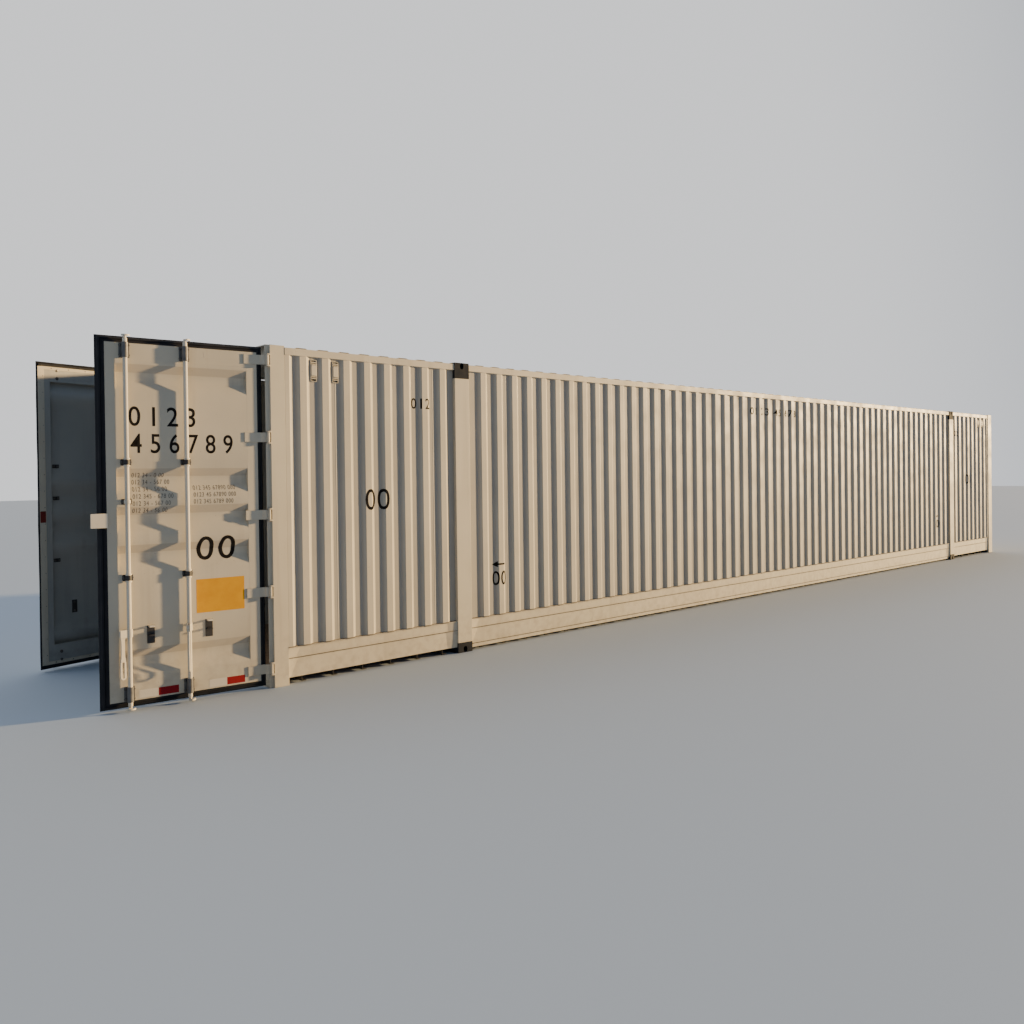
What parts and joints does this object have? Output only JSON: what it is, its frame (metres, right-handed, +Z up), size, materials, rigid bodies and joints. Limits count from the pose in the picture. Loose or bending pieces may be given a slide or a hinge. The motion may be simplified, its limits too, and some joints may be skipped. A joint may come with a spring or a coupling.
{
  "type": "shipping container",
  "caption": "Long high-cube steel shipping container with corrugated walls, lifting frames set in from its ends, and two hinged doors with lock rods and handles.",
  "frame": {"origin": "centre of the body's footprint, in the plane of the bottom castings' undersides", "axes": "+X along the length towards the closed front end (the doors are at -X), +Y towards the left wall as seen from the doors, +Z up"},
  "size_m": [17.4593, 2.6, 2.896],
  "materials": {
    "paint": "satin",
    "rod_paint": "satin",
    "casting": "matte",
    "galvanised": "matte",
    "rubber": "matte",
    "floor_board": "satin",
    "underframe": "matte"
  },
  "bodies": {
    "container": {"bottom_castings": "casting", "bottom_rails": "paint", "cam_keepers": "galvanised", "door_corner_posts": "paint", "door_header": "paint", "door_hinge_lugs": "paint", "door_sill": "paint", "floor": "floor_board", "floor_crossmembers": "underframe", "front_corner_posts": "paint", "front_header": "paint", "front_sill": "paint", "front_wall": "paint", "keeper_shelves": "paint", "left_wall": "paint", "lifting_frame_floor_beams": "underframe", "lifting_frame_posts": "paint", "lifting_frame_roof_beams": "paint", "right_wall": "paint", "roof": "paint", "top_castings": "casting", "top_rails": "paint", "ventilators": "paint"},
    "right_door": {"right_door_frame": "paint", "right_door_panel": "paint", "right_door_gasket": "rubber", "right_door_hinges": "paint", "right_rod_guides": "rod_paint", "right_handle_catches": "rod_paint", "right_door_cover_plate": "paint"},
    "right_inner_lock_rod": {"right_inner_lock_rod": "rod_paint"},
    "right_inner_handle": {"right_inner_handle": "rod_paint"},
    "right_outer_lock_rod": {"right_outer_lock_rod": "rod_paint"},
    "right_outer_handle": {"right_outer_handle": "rod_paint"},
    "left_door": {"left_door_frame": "paint", "left_door_panel": "paint", "left_door_gasket": "rubber", "left_door_hinges": "paint", "left_rod_guides": "rod_paint", "left_handle_catches": "rod_paint"},
    "left_inner_lock_rod": {"left_inner_lock_rod": "rod_paint"},
    "left_inner_handle": {"left_inner_handle": "rod_paint"},
    "left_outer_lock_rod": {"left_outer_lock_rod": "rod_paint"},
    "left_outer_handle": {"left_outer_handle": "rod_paint"}
  },
  "joints": [
    {"name": "right_door_hinge", "type": "hinge", "parent": "container", "child": "right_door", "pos_m": [-8.049, -1.287, 1.465], "axis": [0, 0, 1], "range_deg": [-84, 178]},
    {"name": "right_inner_rod_turn", "type": "hinge", "parent": "right_door", "child": "right_inner_lock_rod", "pos_m": [-9.1358, -1.17076, 1.465], "axis": [0, 0, -1], "range_deg": [-165, 5]},
    {"name": "right_inner_handle_pivot", "type": "hinge", "parent": "right_inner_lock_rod", "child": "right_inner_handle", "pos_m": [-9.18716, -1.1789, 0.6], "axis": [0.1564, -0.9877, 0], "range_deg": [-90, 0]},
    {"name": "right_outer_rod_turn", "type": "hinge", "parent": "right_door", "child": "right_outer_lock_rod", "pos_m": [-8.7012, -1.21644, 1.465], "axis": [0, 0, -1], "range_deg": [-110, 60]},
    {"name": "right_outer_handle_pivot", "type": "hinge", "parent": "right_outer_lock_rod", "child": "right_outer_handle", "pos_m": [-8.72399, -1.26318, 0.6], "axis": [0.8988, -0.4384, 0], "range_deg": [-90, 0]},
    {"name": "left_door_hinge", "type": "hinge", "parent": "container", "child": "left_door", "pos_m": [-8.049, 1.287, 1.465], "axis": [0, 0, -1], "range_deg": [-74, 188]},
    {"name": "left_inner_rod_turn", "type": "hinge", "parent": "left_door", "child": "left_inner_lock_rod", "pos_m": [-9.09911, 0.98381, 1.465], "axis": [0, 0, 1], "range_deg": [-165, 5]},
    {"name": "left_inner_handle_pivot", "type": "hinge", "parent": "left_inner_lock_rod", "child": "left_inner_handle", "pos_m": [-9.1511, 0.9829, 0.6], "axis": [0.0175, -0.9998, 0], "range_deg": [-90, 0]},
    {"name": "left_outer_rod_turn", "type": "hinge", "parent": "left_door", "child": "left_outer_lock_rod", "pos_m": [-8.67904, 1.10426, 1.465], "axis": [0, 0, 1], "range_deg": [-110, 60]},
    {"name": "left_outer_handle_pivot", "type": "hinge", "parent": "left_outer_lock_rod", "child": "left_outer_handle", "pos_m": [-8.7096, 1.14633, 0.6], "axis": [-0.809, -0.5878, 0], "range_deg": [-90, 0]}
  ]
}
